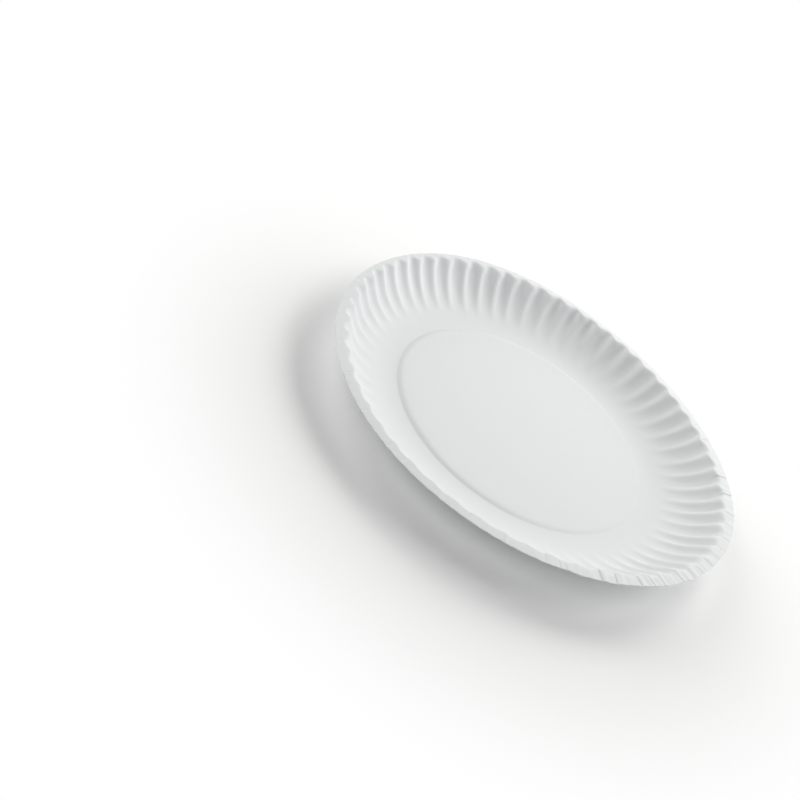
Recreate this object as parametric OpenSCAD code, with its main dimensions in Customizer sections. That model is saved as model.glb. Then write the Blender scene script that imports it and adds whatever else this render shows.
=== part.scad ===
// Round pressed paper plate: a raised well, the ring it stands on, a smooth cove and a fluted rim.
// Millimetres, +Z up, origin at the centre of the standing ring, on the table.

/* [Plate] */
// Outer diameter across the lip
plate_d = 229; // [190:1:300]
// Height of the lip's inner edge above the table
plate_h = 20; // [14:0.5:28]
// Thickness of the paperboard
board_t = 0.4; // [0.3:0.05:0.7]

/* [Well] */
// Diameter of the flat well, inside its rolled edge
well_d = 135; // [100:1:150]
// Height of the well above the ring that the plate stands on
well_h = 1.2; // [0.6:0.1:2]
// Width over which the well's edge rolls down to the ring
roll_w = 4.6; // [4:0.2:8]
// Width of the flat ring, between the roll and the cove
ring_w = 0.6; // [0.4:0.1:3]

/* [Fluted rim] */
// Number of flutes pressed into the wall
flutes = 58; // [40:1:62]
// Slope of the cove where the flutes begin, in degrees
flute_start = 16; // [8:1:20]
// Depth of the flutes at the top of the wall, from ridge to valley
flute_depth = 2; // [0.6:0.1:2.6]
// Radius of the bend where the wall turns over into the lip
crest_r = 2; // [1.5:0.1:3]
// Width of the lip outside the bend
lip_w = 4; // [3:0.2:8]
// How far the lip's outer edge hangs below its inner edge
lip_drop = 0.5; // [0:0.1:1.5]
// Height of the ripple that the flutes leave in the lip, either way from flat
lip_ripple = 0.3; // [0:0.05:0.6]

/* [Bow] */
// Most that the lip bows up or down from a flat ring
lip_bow = 1.5; // [0:0.1:2.5]
// Direction of the upward bow, in degrees from +X
bow_angle = 132; // [0:1:180]

/* [Hidden] */
$fn = 180;

// Samples around each flute and arcs in the section
flute_samples = 6;
wall_steps = 4;
roll_steps = 4;
bend_steps = 2;
cove_steps = 3;

// The rim ring is let into the end of the cove by a tongue that is a little thinner than the board
tongue_l = 0.6;
tongue_inset = 0.06;

// Radius of the small bend between the roll and the ring
bend_r = 0.8;

// Power by which the bow grows towards the edge
bow_growth = 1.5;

// The section is followed along the middle of the board
half_t = board_t/2;
plate_r = plate_d/2;
well_r = well_d/2;

// Roll: one wide arc turning down and one small arc turning back to the ring
roll_slope = 2*atan(well_h/roll_w);
roll_r = roll_w/sin(roll_slope) - bend_r;
ring_r = well_r + roll_w;

// Cove and crest: two arcs that meet at the steepest slope of the wall
foot_r = ring_r + ring_w;
wall_run = plate_r - lip_w - foot_r;
wall_rise = plate_h - board_t;
wall_slope = 2*atan(wall_rise/wall_run);
cove_r = wall_run/sin(wall_slope) - crest_r;
start_r = cove_at(flute_start)[0];
tongue_turn = tongue_l/cove_r*180/PI;

// A station is [radius, height, slope] of the middle of the board
function roll_at(a) = [well_r + roll_r*sin(a), half_t + well_h - roll_r*(1 - cos(a)), -a];
function bend_at(a) = [ring_r - bend_r*sin(a), half_t + bend_r*(1 - cos(a)), -a];
function cove_at(a) = [foot_r + cove_r*sin(a), half_t + cove_r*(1 - cos(a)), a];
function crest_at(a) = [
    plate_r - lip_w - crest_r*sin(a),
    plate_h - half_t - crest_r*(1 - cos(a)),
    a
];

// The point beside a station, out along the normal of the board
function beside(s, out) = [s[0] - out*sin(s[2]), s[1] + out*cos(s[2])];

// Half the depth of the flutes, a share t of the way up the wall: they deepen fast, then ever less
function wave_at(t) = flute_depth/2*sqrt(t);

// How far the ring bows up or down, growing from the start of the flutes to the edge
function bow(r, angle) =
    lip_bow*pow(max(0, r - start_r)/(plate_r - start_r), bow_growth)*cos(2*(angle - bow_angle));

// A vertex of the rim ring, from a row [station, half depth of the wave, half thickness]
function rim_point(row, side, angle) =
    let (p = beside(row[0], row[1]*cos(flutes*angle) + side*row[2]))
    [p[0]*cos(angle), p[0]*sin(angle), p[1] + bow(p[0], angle)];

module base() {
    section = [
        [0, half_t + well_h, 0],
        for (i = [0:roll_steps]) roll_at(roll_slope*i/roll_steps),
        for (i = [bend_steps - 1:-1:0]) bend_at(roll_slope*i/bend_steps),
        for (i = [0:cove_steps]) cove_at(flute_start*i/cove_steps)
    ];
    last = len(section) - 1;
    rotate_extrude()
        polygon([
            for (i = [0:last]) beside(section[i], -half_t),
            for (i = [last:-1:0]) beside(section[i], half_t)
        ]);
}

module fluted_rim() {
    wall_turn = wall_slope - flute_start - tongue_turn;
    rows = [
        [cove_at(flute_start - tongue_turn), 0, half_t - tongue_inset],
        for (i = [0:wall_steps])
            let (t = i/wall_steps)
            [cove_at(flute_start + tongue_turn + wall_turn*t), wave_at(t), half_t],
        [crest_at(0), lip_ripple, half_t],
        [[plate_r, plate_h - half_t - lip_drop, 0], lip_ripple, half_t]
    ];
    columns = flutes*flute_samples;
    last = len(rows) - 1;
    // Around the section: along the upper side outwards, then back along the lower side
    section = [for (j = [0:last]) [rows[j], 1], for (j = [last:-1:0]) [rows[j], -1]];
    around = len(section);
    points = [
        for (i = [0:columns - 1], place = section)
            rim_point(place[0], place[1], 360*i/columns)
    ];
    faces = [
        for (i = [0:columns - 1], j = [0:around - 1])
            let (here = i*around, beyond = (i + 1)%columns*around, next = (j + 1)%around)
            each [
                [here + j, beyond + j, beyond + next],
                [here + j, beyond + next, here + next]
            ]
    ];
    polyhedron(points, faces);
}

module plate() {
    color("whitesmoke")
        union() {
            base();
            fluted_rim();
        }
}

plate();
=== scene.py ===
# %% [markdown]
# # A fluted paper plate
#
# The object is one round sheet of white board. A heated press closes on it once and gives it a flat well
# that is raised a little, a narrow ring round it to stand on, a smooth cove, a fluted wall and a flat lip.
#
# The imported model of the plate is loaded first, because everything made here has to keep its size and place.
# Its box is kept at once, and the plate's outer radius is taken from it.

# %% Load the imported plate
import math
import random

import bpy
from mathutils import Matrix, Vector


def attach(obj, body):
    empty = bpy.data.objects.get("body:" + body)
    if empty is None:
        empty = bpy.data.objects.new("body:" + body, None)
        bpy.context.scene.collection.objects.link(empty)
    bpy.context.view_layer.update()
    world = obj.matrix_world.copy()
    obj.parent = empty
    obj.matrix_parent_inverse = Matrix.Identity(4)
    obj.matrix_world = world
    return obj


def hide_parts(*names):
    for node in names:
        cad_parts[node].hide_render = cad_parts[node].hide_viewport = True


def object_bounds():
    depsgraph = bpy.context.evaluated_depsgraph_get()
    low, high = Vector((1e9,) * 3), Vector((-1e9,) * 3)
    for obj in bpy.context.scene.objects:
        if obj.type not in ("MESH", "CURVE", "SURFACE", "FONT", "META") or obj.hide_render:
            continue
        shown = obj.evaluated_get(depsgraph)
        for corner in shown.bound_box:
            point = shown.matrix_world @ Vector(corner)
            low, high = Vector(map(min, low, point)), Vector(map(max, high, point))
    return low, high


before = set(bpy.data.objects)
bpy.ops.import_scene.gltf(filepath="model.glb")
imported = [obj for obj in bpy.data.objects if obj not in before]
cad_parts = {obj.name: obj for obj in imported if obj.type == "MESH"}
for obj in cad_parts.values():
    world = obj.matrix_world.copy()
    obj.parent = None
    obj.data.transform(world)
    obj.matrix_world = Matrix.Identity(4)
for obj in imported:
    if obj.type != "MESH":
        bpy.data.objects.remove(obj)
cad_low, cad_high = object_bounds()
print("packed plate, lowest corner", [round(v, 4) for v in cad_low])
print("packed plate, highest corner", [round(v, 4) for v in cad_high])

# %% [markdown]
# ## Where the camera stands
#
# A camera can be placed by eye, by an aim point, or from a few measured angles. Angles were chosen here: the
# line of sight falls on the table at a steady slope, and the camera is rolled, so the plate's ellipse lies
# slanted in the picture. The last three lengths say where the middle of the lip lies, seen from the lens.

# %% Camera
mm = 0.001
lip_top = 20*mm
sensor_w = 36
lens_length = 43.9
nearest_seen = 10*mm
farthest_seen = 20
sight_azimuth = math.radians(90.3)
sight_slope = math.radians(35.2)
camera_roll = math.radians(32.2)
lip_right = 71.8*mm
lip_up = 1.3*mm
lip_ahead = 496.2*mm

ahead = Vector((
    math.cos(sight_azimuth)*math.cos(sight_slope),
    math.sin(sight_azimuth)*math.cos(sight_slope),
    -math.sin(sight_slope),
))
level_right = ahead.cross(Vector((0, 0, 1))).normalized()
level_up = level_right.cross(ahead)
camera_right = math.cos(camera_roll)*level_right + math.sin(camera_roll)*level_up
camera_up = math.cos(camera_roll)*level_up - math.sin(camera_roll)*level_right

camera_data = bpy.data.cameras.new("camera")
camera_data.sensor_width = sensor_w
camera_data.lens = lens_length
camera_data.clip_start = nearest_seen
camera_data.clip_end = farthest_seen
camera = bpy.data.objects.new("camera", camera_data)
camera_place = Vector((0, 0, lip_top)) - lip_right*camera_right - lip_up*camera_up - lip_ahead*ahead
turn = Matrix((camera_right, camera_up, -ahead)).transposed()
camera.matrix_world = Matrix.Translation(camera_place) @ turn.to_4x4()
bpy.context.scene.collection.objects.link(camera)
bpy.context.scene.camera = camera
print("camera at", [round(v, 3) for v in camera_place])

# %% [markdown]
# ## The section of the board
#
# A pressed plate can be turned from a profile, like a bowl on a lathe, or built up row by row. Rows were
# chosen, because the fluting has to grow along them. Each station of the profile has a radius, a height and a
# slope, and follows the middle of the board, so that half a thickness to either side gives the two faces.
#
# From the flat well the profile rolls down ever more steeply. A tiny arc turns it back level at the ring, and
# one long arc then makes the cove and the wall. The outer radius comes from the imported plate.

# %% Sizes of the plate, in millimetres
plate_r = (cad_high.x - cad_low.x)/2/mm
plate_h = lip_top/mm
board_t = 0.4
half_t = board_t/2
well_r = 67.5
well_h = 1.2
roll_w = 4.6
ring_w = 0.6
ring_r = well_r + roll_w
foot_r = ring_r + ring_w
print("outer radius", round(plate_r, 2), "mm, ring from", round(ring_r, 2), "to", round(foot_r, 2), "mm")

# %% Rolled edge of the well
bend_r = 0.8
roll_slope = math.radians(36)
roll_run = roll_w - bend_r*math.sin(roll_slope)
roll_fall = well_h - bend_r*(1 - math.cos(roll_slope))
roll_power = math.tan(roll_slope)*roll_run/roll_fall


def roll_at(share):
    """The roll starts gently and is steepest at its foot."""
    steepness = roll_power*roll_fall/roll_run*share**(roll_power - 1)
    return well_r + roll_run*share, half_t + well_h - roll_fall*share**roll_power, -math.atan(steepness)


def bend_at(a):
    """The place where the small bend back to the ring slopes down by an angle."""
    return ring_r - bend_r*math.sin(a), half_t + bend_r*(1 - math.cos(a)), -a


print("the roll falls", round(roll_fall, 2), "mm over", round(roll_run, 2), "mm")

# %% Cove and wall
crest_r = 2
lip_w = 4
wall_run = plate_r - lip_w - foot_r
wall_rise = plate_h - board_t
wall_slope = 2*math.atan(wall_rise/wall_run)
cove_r = wall_run/math.sin(wall_slope) - crest_r


def cove_at(a):
    """The place where the cove, or the wall after it, slopes up by an angle."""
    return foot_r + cove_r*math.sin(a), half_t + cove_r*(1 - math.cos(a)), a


print("cove of", round(cove_r, 1), "mm radius, steepest slope", round(math.degrees(wall_slope), 1), "degrees")

# %% [markdown]
# ## How deep the flutes are
#
# The flutes take up the spare board that a flat disc has when its rim is drawn in. They start part of the way
# up the cove, deepen steadily, and are full at the top of the wall. They could be pressed into a smooth bowl
# afterwards, but each row can as well say how deep its own wave is. So a row has a station of the profile and
# half the depth of the wave there, which is nothing on the well, the ring and the start of the cove.

# %% Depth of the flutes
flutes = 58
flute_depth = 2.05
flute_start = math.radians(16)
flute_growth = 1.1


def wave_at(t):
    """Half the depth of the flutes, a share t of the way up the wall."""
    return flute_depth/2*math.sin(math.pi/2*t**flute_growth)


print(flutes, "flutes,", flute_depth, "mm deep")

# %% Rows of the section
well_radii = [20, 50]
roll_steps = 5
bend_steps = 3
cove_steps = 4
wall_steps = 11
wall_share = 0.8

plain_stations = [(r, half_t + well_h, 0.0) for r in well_radii]
plain_stations += [roll_at(i/roll_steps) for i in range(roll_steps + 1)]
plain_stations += [bend_at(roll_slope*i/bend_steps) for i in reversed(range(bend_steps))]
plain_stations += [cove_at(flute_start*i/cove_steps) for i in range(cove_steps)]
rows = [(station, 0.0) for station in plain_stations]
for i in range(wall_steps + 1):
    t = wall_share*i/wall_steps
    rows.append((cove_at(flute_start + (wall_slope - flute_start)*t), wave_at(t)))
top_radii = [105.9, 106.7, 107.5, 108.2, 108.8, 109.4, 110.0, 110.6, 111.2, 111.8, 112.5, 113.4, plate_r]
print(len(rows) + len(top_radii), "rows on each face of the board")

# %% [markdown]
# ## Where the wall meets the lip
#
# At the top of the wall a valley runs up to the lip and turns sharply, which leaves a round cup, while a
# ridge rolls over early and gently. A bevel would round both alike. So the top is one height rule: the lower
# of wall and lip, with a rounding between them that is wide at a ridge and tight in a valley. Where the
# ridges stand up as arches, the rule also brings them in a little farther than the rest of the wall.

# %% Heights near the top of the wall
bend_corner = plate_r - lip_w - crest_r*math.tan(wall_slope/2)
lip_drop = 0.4
top_growth = 0.06
arch_from, arch_reach = 106.0, 2.0


def held(t):
    """A share that never leaves 0 to 1."""
    return min(1.0, max(0.0, t))


def smooth(t):
    """A share that starts and ends gently."""
    t = held(t)
    return t*t*(3 - 2*t)


def wall_height(r, push):
    """Height of the wall at a radius, when a flute pushes it in by some length along its normal."""
    reach = cove_r - push
    run = r - foot_r
    last = reach*math.sin(wall_slope)
    if run < last:
        return half_t + cove_r - math.sqrt(reach**2 - run**2)
    return half_t + cove_r - reach*math.cos(wall_slope) + (run - last)*math.tan(wall_slope)


def lip_height(r):
    """Height of the lip, which hangs a little towards its cut edge."""
    return plate_h - half_t - lip_drop*max(0.0, r - bend_corner)/lip_w


def top_height(r, flute, form):
    """Height of the board near the top of the wall, for a flute value from -1 in a valley to 1 on a ridge."""
    ridge_rounding, valley_rounding, arch = form
    push = flute_depth/2*flute*(1 + top_growth*(r - top_radii[0]))
    push += arch*(flute + 1)*held((r - arch_from)/arch_reach)
    wall = wall_height(r, push)
    lip = lip_height(r)
    rounding = valley_rounding + (ridge_rounding - valley_rounding)*held((flute + 1)/2)
    overlap = max(0.0, rounding - abs(wall - lip))
    return min(wall, lip) - overlap**2/(4*rounding)


print("lip", round(lip_height(bend_corner), 2), "mm high inside,", round(lip_height(plate_r), 2), "outside")

# %% [markdown]
# ## No two flutes alike
#
# A press makes even flutes, but board springs back a little differently at each. They could all be moved by
# hand. Here every flute gets its own depth and its own small shift from its place by a seeded draw, so that
# each run gives the same plate. On one side the flutes are pressed much less deep. At three places they crowd
# together or draw apart: each has a side and a width in degrees, and a shift in flutes. A ridge is a little
# narrower than a valley, which a second wave of twice the pace gives.
#
# What belongs to a side of the plate, and not to one flute, fades with the angle from that side. The tops of
# the flutes are deep arches on the far side, sharp at the near left and soft on the right, and the edge of
# the well stands highest on the left.

# %% Sides of the plate
def turn_between(a, b):
    """The turn from b to a in degrees, the shorter way round."""
    return (a - b + 180) % 360 - 180


def side_share(angle, side, width, power=2):
    """1 at a side given in degrees, fading to 0 over a width of about so many degrees."""
    return math.exp(-abs(turn_between(math.degrees(angle), side)/width)**power)


print("a side fades to", round(side_share(0, 45, 45), 2), "at its own width")

# %% Form of the flutes' tops, round the plate
broad = 4
arch_side, arch_width = 82, 72
sharp_side, sharp_width = 228, 75
soft_side, soft_width = 330, 45
ridge_round, ridge_change = 2.6, 1.6
valley_round, valley_change = 0.45, 0.9
least_arch, far_arch = 0.08, 0.52


def top_form(angle):
    """The rounding of a ridge and of a valley, and how far the ridges stand in as arches, in millimetres."""
    far = side_share(angle, arch_side, arch_width, broad)
    sharp = side_share(angle, sharp_side, sharp_width, broad)
    soft = side_share(angle, soft_side, soft_width, broad)
    ridge_rounding = ridge_round - ridge_change*sharp + ridge_change*soft
    return ridge_rounding, valley_round + valley_change*soft, least_arch + far_arch*far


print("rounding of a ridge on the right", round(top_form(math.radians(soft_side))[0], 2), "mm")

# %% Level of the well's edge, round the plate
well_level_mean, well_level_swing = 0.62, 0.4
well_high_side = math.radians(195)


def well_level(angle):
    """How much of its full height the well's edge has."""
    return well_level_mean + well_level_swing*math.cos(angle - well_high_side)


print("the well's edge stands", round(well_h*well_level(well_high_side), 2), "mm high on the left")

# %% Small differences from flute to flute
draw = random.Random(58)
depth_spread = 0.1
shift_spread = 0.05
ridge_share = 0.15
shallow_side, shallow_width, shallow_share = 252, 50, 0.72
crowding = [(190, 18, 0.16), (122, 28, -0.08), (15, 35, 0.05)]

depth_of = [1 + depth_spread*draw.uniform(-1, 1) for _ in range(flutes)]
shift_of = [shift_spread*draw.uniform(-1, 1) for _ in range(flutes)]


def blended(values, angle):
    """The flutes' own values, with a smooth change from each to the next."""
    place = angle/(2*math.pi)*flutes
    k = math.floor(place)
    share = smooth(place - k)
    return values[k % flutes]*(1 - share) + values[(k + 1) % flutes]*share


def flute_wave(angle):
    """The flutes at an angle, about 1 on a full ridge and -1 in a full valley."""
    depth = blended(depth_of, angle)
    depth *= 1 - shallow_share*side_share(angle, shallow_side, shallow_width, broad)
    shift = blended(shift_of, angle)
    for side, width, share in crowding:
        shift += share*side_share(angle, side, width)
    phase = flutes*angle + 2*math.pi*shift
    return depth*(math.cos(phase) + ridge_share*math.cos(2*phase))


print("flute depths from", round(min(depth_of), 2), "to", round(max(depth_of), 2), "of the full depth")

# %% [markdown]
# ## Small folds in the lip
#
# Where the flutes end there is still a little too much board, and the press flattens it into small laps
# across the lip. They could be painted, but a lap throws a thin shadow and leaves a step in the outline, so
# each is a shape: a thin groove, and beside it a rise that fades out again round the lip. Their places are
# chosen from the look of such a lip. Each has the angle of its inner end in degrees, a height in
# millimetres, and a lean, the angle by which its outer end is ahead.

# %% Lip folds
lip_folds = [
    (1.0, 0.08, 0.6), (8.4, 0.22, 1.9), (16.2, 0.32, 1.0), (31.0, 0.22, 1.0), (37.0, 0.18, 1.0),
    (41.4, 0.08, 0.8), (57.6, 0.10, 0.3), (98.5, 0.08, -0.5), (110.0, 0.06, -0.4), (123.9, 0.28, 0.7),
    (141.2, 0.32, 0.8), (165.0, 0.08, 0.3), (182.4, 0.12, 0.3), (188.2, 0.15, 0.8), (207.4, 0.07, 0.4),
    (218.5, 0.12, 0.5), (224.9, 0.08, 0.3), (231.2, 0.14, -0.2), (236.8, 0.07, 0.3), (241.3, 0.12, 0.4),
    (246.6, 0.15, -0.3), (252.0, 0.10, 0.2), (256.1, 0.13, 0.3), (261.4, 0.09, -0.2), (265.0, 0.12, 0.0),
    (269.2, 0.08, 0.3), (273.7, 0.14, 0.2), (280.3, 0.10, 0.2), (283.6, 0.10, 0.2), (287.0, 0.15, 0.2),
    (288.5, 0.12, 0.2), (297.4, 0.30, 0.3), (302.0, 0.28, -0.5), (308.0, 0.20, 0.3), (311.3, 0.18, 1.0),
    (315.0, 0.06, 0.5), (321.3, 0.16, 0.8), (330.0, 0.10, 0.6), (335.3, 0.12, 0.4), (339.8, 0.10, 0.6),
    (343.5, 0.06, 0.6), (350.0, 0.05, 0.5),
]
groove_share = 1.1
groove_width = 0.38
fold_fade = 2.5
fold_reach = 5*fold_fade
lean_reach = 4.0


def lap(degrees):
    """Height of the folds at an angle round the lip, measured where they start."""
    height = 0.0
    for place, rise, _ in lip_folds:
        along = math.radians(turn_between(degrees, place))*plate_r
        if abs(along) < fold_reach:
            height -= groove_share*rise*math.exp(-(along/groove_width)**2)
            if along > 0:
                height += rise*min(1.0, along/groove_width)*math.exp(-along/fold_fade)
    return height


def lean_at(degrees):
    """How far the outer end of the lip is turned ahead of the inner end, so that columns follow the folds."""
    turned = 0.0
    for place, _, lean in lip_folds:
        near = turn_between(degrees, place)/lean_reach
        if abs(near) < 1:
            turned += lean*(1 - near**2)**2
    return turned


print(len(lip_folds), "folds")

# %% [markdown]
# ## Wrinkles
#
# Between the folds the lip isn't smooth either. It has many shallow wrinkles across it, most of them on the
# side with the most folds. Single folds would be too regular, so several waves of uneven pace and height are
# added up, drawn from the same seed. The cut edge wavers in the same way.

# %% Wrinkles
wrinkled_side, wrinkled_width = 325, 60
least_wrinkled, most_added = 0.6, 0.8


def drawn_waves(how_many, counts, heights):
    """Waves with a count round the plate, a height in millimetres and a start, drawn in that order."""
    return [
        (draw.randint(*counts), draw.uniform(*heights), draw.uniform(0, 2*math.pi))
        for _ in range(how_many)
    ]


wrinkle_waves = drawn_waves(14, (70, 230), (0.014, 0.035))
edge_waves = drawn_waves(10, (20, 140), (0.02, 0.05))


def waver(waves, angle):
    """Sum of the waves at an angle, in millimetres."""
    return sum(height*math.sin(count*angle + start) for count, height, start in waves)


def wrinkle(angle):
    """Height of the wrinkles at an angle round the lip."""
    share = least_wrinkled + most_added*side_share(angle, wrinkled_side, wrinkled_width)
    return waver(wrinkle_waves, angle)*share


print(len(wrinkle_waves), "waves in the lip,", len(edge_waves), "in the cut edge")

# %% [markdown]
# ## The bow of the whole rim
#
# Thin board never stays quite flat. The lip stands a millimetre and a half too high on two opposite sides and
# as much too low between them. A bend could be put on the finished mesh, but a formula keeps the well and the
# ring flat: the bow starts with the flutes and grows to the edge.

# %% Bow
lip_bow = 1.5
bow_growth = 1.5
bow_angle = math.radians(132)
start_r = cove_at(flute_start)[0]


def bow(r, angle):
    """How far the rim has risen, or sunk, at a radius and an angle."""
    share = max(0.0, r - start_r)/(plate_r - start_r)
    return lip_bow*share**bow_growth*math.cos(2*(angle - bow_angle))


print("the bow starts at radius", round(start_r, 1), "mm")

# %% [markdown]
# ## An outline that isn't quite round
#
# The blank lay a little to one side in the press, so the lip is wider on the right, and its outline swells
# and draws in here and there. On the left the top of the wall has been pushed inwards a little. Points could
# be dragged for that, but a finer mesh would need it all again, so each is a rule for the angle and radius.
# A swell has a side and a width in degrees, and a height in millimetres.

# %% Wall pressed in on the left
inset = 2.5
inset_side, inset_width = 196, 38
inset_from, inset_to = 96.5, 108.5


def inset_at(r, angle):
    """How far the wall's top is pressed in. It grows up the wall and is gone at the cut edge."""
    grown = smooth((r - inset_from)/(inset_to - inset_from))
    left = smooth((plate_r - r)/(plate_r - inset_to))
    return inset*side_share(angle, inset_side, inset_width)*grown*left


print("the wall's top is pressed in by", inset, "mm")

# %% Outline of the cut edge
blank_shift = 1.8
blank_side = math.radians(5)
swells = [
    (158, 20, -0.8), (104.5, 2.0, 0.4), (143.5, 2.5, -0.3), (206, 8, 0.2), (289.5, 1.5, -0.35),
    (300, 3, 0.2), (316, 3, 0.3), (327, 3, 0.25), (338, 4, -0.2), (25, 6, 0.2),
]


def outline(angle):
    """How far the cut edge lies outside an even circle, in millimetres."""
    out = blank_shift*math.cos(angle - blank_side) + waver(edge_waves, angle)
    for side, width, height in swells:
        out += height*side_share(angle, side, width)
    return out


print("the cut edge lies", round(outline(blank_side), 2), "mm farther out on the right")

# %% [markdown]
# ## The plate as one mesh
#
# The columns run round the plate: an even number to each flute, and seven close together at each fold, where
# the surface is sharpest. Every row is set out twice, once for the upper face and once for the underside, and
# the two are joined at the cut edge and at the middle. A single face with a Solidify modifier would be
# quicker to write, but here each point of both faces comes straight from the section. That makes one closed
# sheet, as the real plate is.

# %% Columns
flute_columns = 16
fold_columns = (-1.0, -0.55, -0.25, 0, 0.25, 0.55, 1.0)
column_gap = 0.2

even_angles = [360*i/(flutes*flute_columns) for i in range(flutes*flute_columns)]
fold_steps = [math.degrees(step/plate_r) for step in fold_columns]
fold_angles = [(place + step) % 360 for place, _, _ in lip_folds for step in fold_steps]
least_turn = math.degrees(column_gap/plate_r)
free_angles = [a for a in even_angles if all(abs(turn_between(a, b)) > least_turn for b in fold_angles)]


def column_at(degrees):
    """A column's angle, the height of the folds and wrinkles in it, and how far its outer end is turned."""
    angle = math.radians(degrees)
    return angle, lap(degrees) + wrinkle(angle), math.radians(lean_at(degrees))


columns = [column_at(degrees) for degrees in sorted(fold_angles + free_angles)]
print(len(columns), "columns")

# %% Points of the two faces
fold_from = 107.5
slope_step = 0.02


def placed(r, z, angle):
    """A point of the plate in metres, with the bow, the outline and the pressed-in wall."""
    z += bow(r, angle)
    r += outline(angle)*max(0.0, r - (plate_r - lip_w))/lip_w - inset_at(r, angle)
    return r*math.cos(angle)*mm, r*math.sin(angle)*mm, z*mm


def wall_point(row, side, column):
    """A point from the well to high up the wall, on the upper face for side 1 and on the underside for -1."""
    (r, z, slope), wave = row
    angle, _, _ = column
    if well_r <= r < foot_r:
        z = half_t + (z - half_t)*well_level(angle)
        slope = math.atan(math.tan(slope)*well_level(angle))
    out = side*half_t + (wave*flute_wave(angle) if wave else 0.0)
    return placed(r - out*math.sin(slope), z + out*math.cos(slope), angle)


def top_point(r, side, column):
    """A point of the wall's top or the lip. Its slope comes from the heights just inside and outside it."""
    angle, fold_height, lean = column
    flute = flute_wave(angle)
    form = top_form(angle)
    inner, here, outer = (top_height(r + step, flute, form) for step in (-slope_step, 0, slope_step))
    slope = math.atan((outer - inner)/(2*slope_step))
    out = side*half_t + held((r - fold_from)/(plate_r - lip_w - fold_from))*fold_height
    angle += lean*max(0.0, r - fold_from)/(plate_r - fold_from)
    return placed(r - out*math.sin(slope), here + out*math.cos(slope), angle)


print("board", board_t, "mm thick")


# %% Faces
def keep_cut_crisp(mesh, cut_loops):
    """The two edges of the cut stay sharp, while everything else is shaded smooth."""
    cut = {tuple(sorted((loop[i - 1], loop[i]))) for loop in cut_loops for i in range(len(loop))}
    sharp = [tuple(sorted(edge.vertices)) in cut for edge in mesh.edges]
    mesh.attributes.new("sharp_edge", "BOOLEAN", "EDGE").data.foreach_set("value", sharp)


def plate_mesh():
    count = len(columns)
    points = [(0, 0, (well_h + board_t)*mm), (0, 0, well_h*mm)]
    upwards = [(wall_point, row) for row in rows] + [(top_point, r) for r in top_radii]
    section = [(make, row, 1) for make, row in upwards]
    section += [(make, row, -1) for make, row in reversed(upwards)]
    loops = []
    for make, row, side in section:
        loops.append(range(len(points), len(points) + count))
        points += [make(row, side, column) for column in columns]
    faces = []
    for i in range(count):
        j = (i + 1) % count
        faces.append((0, loops[0][i], loops[0][j]))
        faces.append((1, loops[-1][j], loops[-1][i]))
        for inner, outer in zip(loops, loops[1:]):
            faces.append((inner[i], outer[i], outer[j], inner[j]))
    mesh = bpy.data.meshes.new("fluted_plate")
    mesh.from_pydata(points, [], faces)
    mesh.validate()
    mesh.shade_smooth()
    keep_cut_crisp(mesh, (loops[len(upwards) - 1], loops[len(upwards)]))
    return mesh


plate = bpy.data.objects.new("fluted_plate", plate_mesh())
bpy.context.scene.collection.objects.link(plate)
plate.data.calc_loop_triangles()
print("plate mesh:", len(plate.data.vertices), "points,", len(plate.data.loop_triangles), "triangles")

# %% [markdown]
# ## White board
#
# Uncoated board is matt and close to white, with three things that keep it from looking like plastic: pressed
# fibres that leave a very fine tooth, a cloudiness a few millimetres across from the uneven pulp, and a faint
# sheen where the press has smoothed it. A scanned sheet would show them too, but noise needs no image and no
# unwrapping. The tooth is bump from fine noise stretched one way and the other, and the cloudiness shifts the
# colour by less than two parts in a hundred. The noise is read in the plate's own space.

# %% Board material
board_colour = (0.812, 0.828, 0.834, 1)
cloud_colour = (0.797, 0.813, 0.819, 1)
board_roughness = 0.62
board_sheen = 0.3
cloud_scale, cloud_detail = 140, 4
tooth_scale, tooth_detail = 900, 3
tooth_height = 0.012*mm
fibre_stretches = ((1, 3, 1), (3, 1, 1))


def board_noise(tree, scale, detail, stretch=(1, 1, 1)):
    """Noise in the plate's own space, squeezed along an axis by the stretch."""
    place = tree.nodes.new("ShaderNodeTexCoord")
    mapping = tree.nodes.new("ShaderNodeMapping")
    mapping.inputs["Scale"].default_value = stretch
    tree.links.new(place.outputs["Object"], mapping.inputs["Vector"])
    noise = tree.nodes.new("ShaderNodeTexNoise")
    noise.inputs["Scale"].default_value = scale
    noise.inputs["Detail"].default_value = detail
    tree.links.new(mapping.outputs["Vector"], noise.inputs["Vector"])
    return noise.outputs["Fac"]


def board_material():
    material = bpy.data.materials.new("white_board")
    material.use_nodes = True
    tree = material.node_tree
    nodes, links = tree.nodes, tree.links
    shader = nodes["Principled BSDF"]
    shader.inputs["Roughness"].default_value = board_roughness
    shader.inputs["Specular IOR Level"].default_value = board_sheen

    cloud = nodes.new("ShaderNodeMix")
    cloud.data_type = "RGBA"
    cloud.inputs["A"].default_value = cloud_colour
    cloud.inputs["B"].default_value = board_colour
    links.new(board_noise(tree, cloud_scale, cloud_detail), cloud.inputs["Factor"])
    links.new(cloud.outputs["Result"], shader.inputs["Base Color"])

    tooth = nodes.new("ShaderNodeMath")
    tooth.operation = "ADD"
    for socket, stretch in zip(tooth.inputs, fibre_stretches):
        links.new(board_noise(tree, tooth_scale, tooth_detail, stretch), socket)
    bump = nodes.new("ShaderNodeBump")
    bump.inputs["Strength"].default_value = 1
    bump.inputs["Distance"].default_value = tooth_height
    links.new(tooth.outputs["Value"], bump.inputs["Height"])
    links.new(bump.outputs["Normal"], shader.inputs["Normal"])
    return material


plate.data.materials.append(board_material())
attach(plate, "root")
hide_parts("plate")
print("board material on", plate.name)

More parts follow.
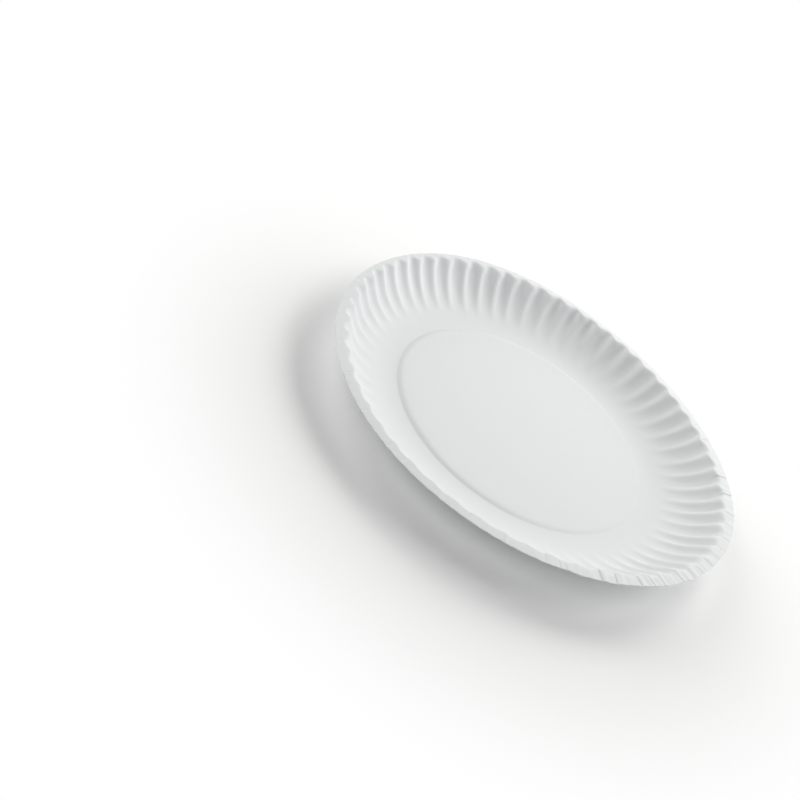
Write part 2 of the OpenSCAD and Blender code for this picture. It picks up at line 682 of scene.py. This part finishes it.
# %% [markdown]
# ## Floor
#
# The plate lies on a plain white floor. More light would turn that floor white in the picture, but it would
# bleach the plate as well, so the floor's own material does it. Near the plate the camera sees a white
# surface that keeps the shadow, and the plate gets its light back from one that is a little darker. Farther
# out the camera sees a pure white that gives the plate no light, and the sky behind it is as white.

# %% Floor material
floor_colour = (0.80, 0.80, 0.80, 1)
seen_colour = (1, 1, 1, 1)
floor_roughness = 0.9
white_from = 0.125
white_to = 0.22


def farther_out(tree):
    """0 near the middle of the floor, 1 farther out."""
    place = tree.nodes.new("ShaderNodeTexCoord")
    distance = tree.nodes.new("ShaderNodeVectorMath")
    distance.operation = "LENGTH"
    tree.links.new(place.outputs["Object"], distance.inputs[0])
    far = tree.nodes.new("ShaderNodeMapRange")
    far.interpolation_type = "SMOOTHSTEP"
    far.inputs["From Min"].default_value = white_from
    far.inputs["From Max"].default_value = white_to
    tree.links.new(distance.outputs["Value"], far.inputs["Value"])
    return far.outputs["Result"]


def floor_material():
    material = bpy.data.materials.new("white_floor")
    material.use_nodes = True
    tree = material.node_tree
    nodes, links = tree.nodes, tree.links
    shader = nodes["Principled BSDF"]
    shader.inputs["Roughness"].default_value = floor_roughness
    shader.inputs["Specular IOR Level"].default_value = 0
    ray = nodes.new("ShaderNodeLightPath")
    colour = nodes.new("ShaderNodeMix")
    colour.data_type = "RGBA"
    colour.inputs["A"].default_value = floor_colour
    colour.inputs["B"].default_value = seen_colour
    links.new(ray.outputs["Is Camera Ray"], colour.inputs["Factor"])
    links.new(colour.outputs["Result"], shader.inputs["Base Color"])

    seen_far = nodes.new("ShaderNodeMath")
    seen_far.operation = "MULTIPLY"
    links.new(farther_out(tree), seen_far.inputs[0])
    links.new(ray.outputs["Is Camera Ray"], seen_far.inputs[1])
    white = nodes.new("ShaderNodeEmission")
    white.inputs["Color"].default_value = seen_colour
    blend = nodes.new("ShaderNodeMixShader")
    links.new(seen_far.outputs["Value"], blend.inputs["Fac"])
    links.new(shader.outputs["BSDF"], blend.inputs[1])
    links.new(white.outputs["Emission"], blend.inputs[2])
    links.new(blend.outputs["Shader"], nodes["Material Output"].inputs["Surface"])
    return material


print("the floor turns white between", white_from, "and", white_to, "m from the middle")

# %% Floor
half_floor = 3.0
floor_corners = [(-1, -1), (1, -1), (1, 1), (-1, 1)]

floor_mesh = bpy.data.meshes.new("floor")
floor_mesh.from_pydata([(x*half_floor, y*half_floor, 0) for x, y in floor_corners], [], [(0, 1, 2, 3)])
floor_mesh.materials.append(floor_material())
floor = bpy.data.objects.new("floor", floor_mesh)
bpy.context.scene.collection.objects.link(floor)
print("floor", 2*half_floor, "m wide")

# %% [markdown]
# ## Soft boxes all round
#
# White board shows its shape only by small steps of grey. One lamp alone makes them too hard and an even sky
# wipes them out, so a ring of soft boxes was chosen. The strongest stands high on the far side, which puts
# the far wall in shade and the near wall in light, and weak ones round the plate open up the rest. Most of
# them stand close, so that their light falls off across the plate, and four stand farther off, where it is
# even. Each has an azimuth and a height in degrees, a distance in metres, a power in watts and a colour.

# %% Lamps
near_distance = 0.9
far_distance = 1.6
lamp_spread = 0.55
cool_white = (0.99, 0.99, 1.0)
even_white = (1.0, 1.0, 1.0)
warm_white = (1.0, 0.99, 0.965)
lamps = [
    ("key", 67, 42, near_distance, 3.3, warm_white),
    ("right_high", 22, 42, far_distance, 7.1, even_white),
    ("far_low", 45, 15, near_distance, 1.95, cool_white),
    ("left_high", 157, 42, near_distance, 1.65, cool_white),
    ("near_low", 270, 15, near_distance, 1.45, cool_white),
    ("side_low", 180, 15, near_distance, 1.45, warm_white),
    ("left_low", 135, 15, far_distance, 4.2, cool_white),
    ("right_low", 0, 15, far_distance, 4.4, cool_white),
    ("near_high", 247, 42, far_distance, 3.8, warm_white),
    ("back_low", 90, 15, near_distance, 0.8, warm_white),
    ("corner_low", 225, 15, near_distance, 0.5, cool_white),
]


def soft_lamp(name, azimuth, height, distance, watts, colour):
    """A round soft box that faces the plate."""
    data = bpy.data.lights.new(name, "AREA")
    data.shape = "DISK"
    data.size = lamp_spread*distance
    data.energy = watts
    data.color = colour
    lamp = bpy.data.objects.new(name, data)
    a, h = math.radians(azimuth), math.radians(height)
    towards = Vector((math.cos(a)*math.cos(h), math.sin(a)*math.cos(h), math.sin(h)))
    lamp.location = towards*distance
    lamp.rotation_mode = "QUATERNION"
    lamp.rotation_quaternion = towards.to_track_quat("Z", "Y")
    bpy.context.scene.collection.objects.link(lamp)


for lamp_facts in lamps:
    soft_lamp(*lamp_facts)
print(len(lamps), "soft boxes")

# %% [markdown]
# ## The sky
#
# A studio has pale walls all round. A bright world could stand in for them, but light from everywhere makes
# the flutes go flat. So the camera sees a white sky behind the floor, and hardly any of it lights the plate.

# %% Sky
sky_light = 0.03

world = bpy.data.worlds.new("studio")
world.use_nodes = True
sky, sky_links = world.node_tree.nodes, world.node_tree.links
sky_ray = sky.new("ShaderNodeLightPath")
sky_level = sky.new("ShaderNodeMapRange")
sky_level.inputs["To Min"].default_value = sky_light
sky_level.inputs["To Max"].default_value = 1
sky_links.new(sky_ray.outputs["Is Camera Ray"], sky_level.inputs["Value"])
sky_links.new(sky_level.outputs["Result"], sky["Background"].inputs["Strength"])
sky["Background"].inputs["Color"].default_value = (1, 1, 1, 1)
bpy.context.scene.world = world
bpy.context.scene.view_settings.view_transform = "Standard"
print("plain white sky, lighting the plate with", sky_light)
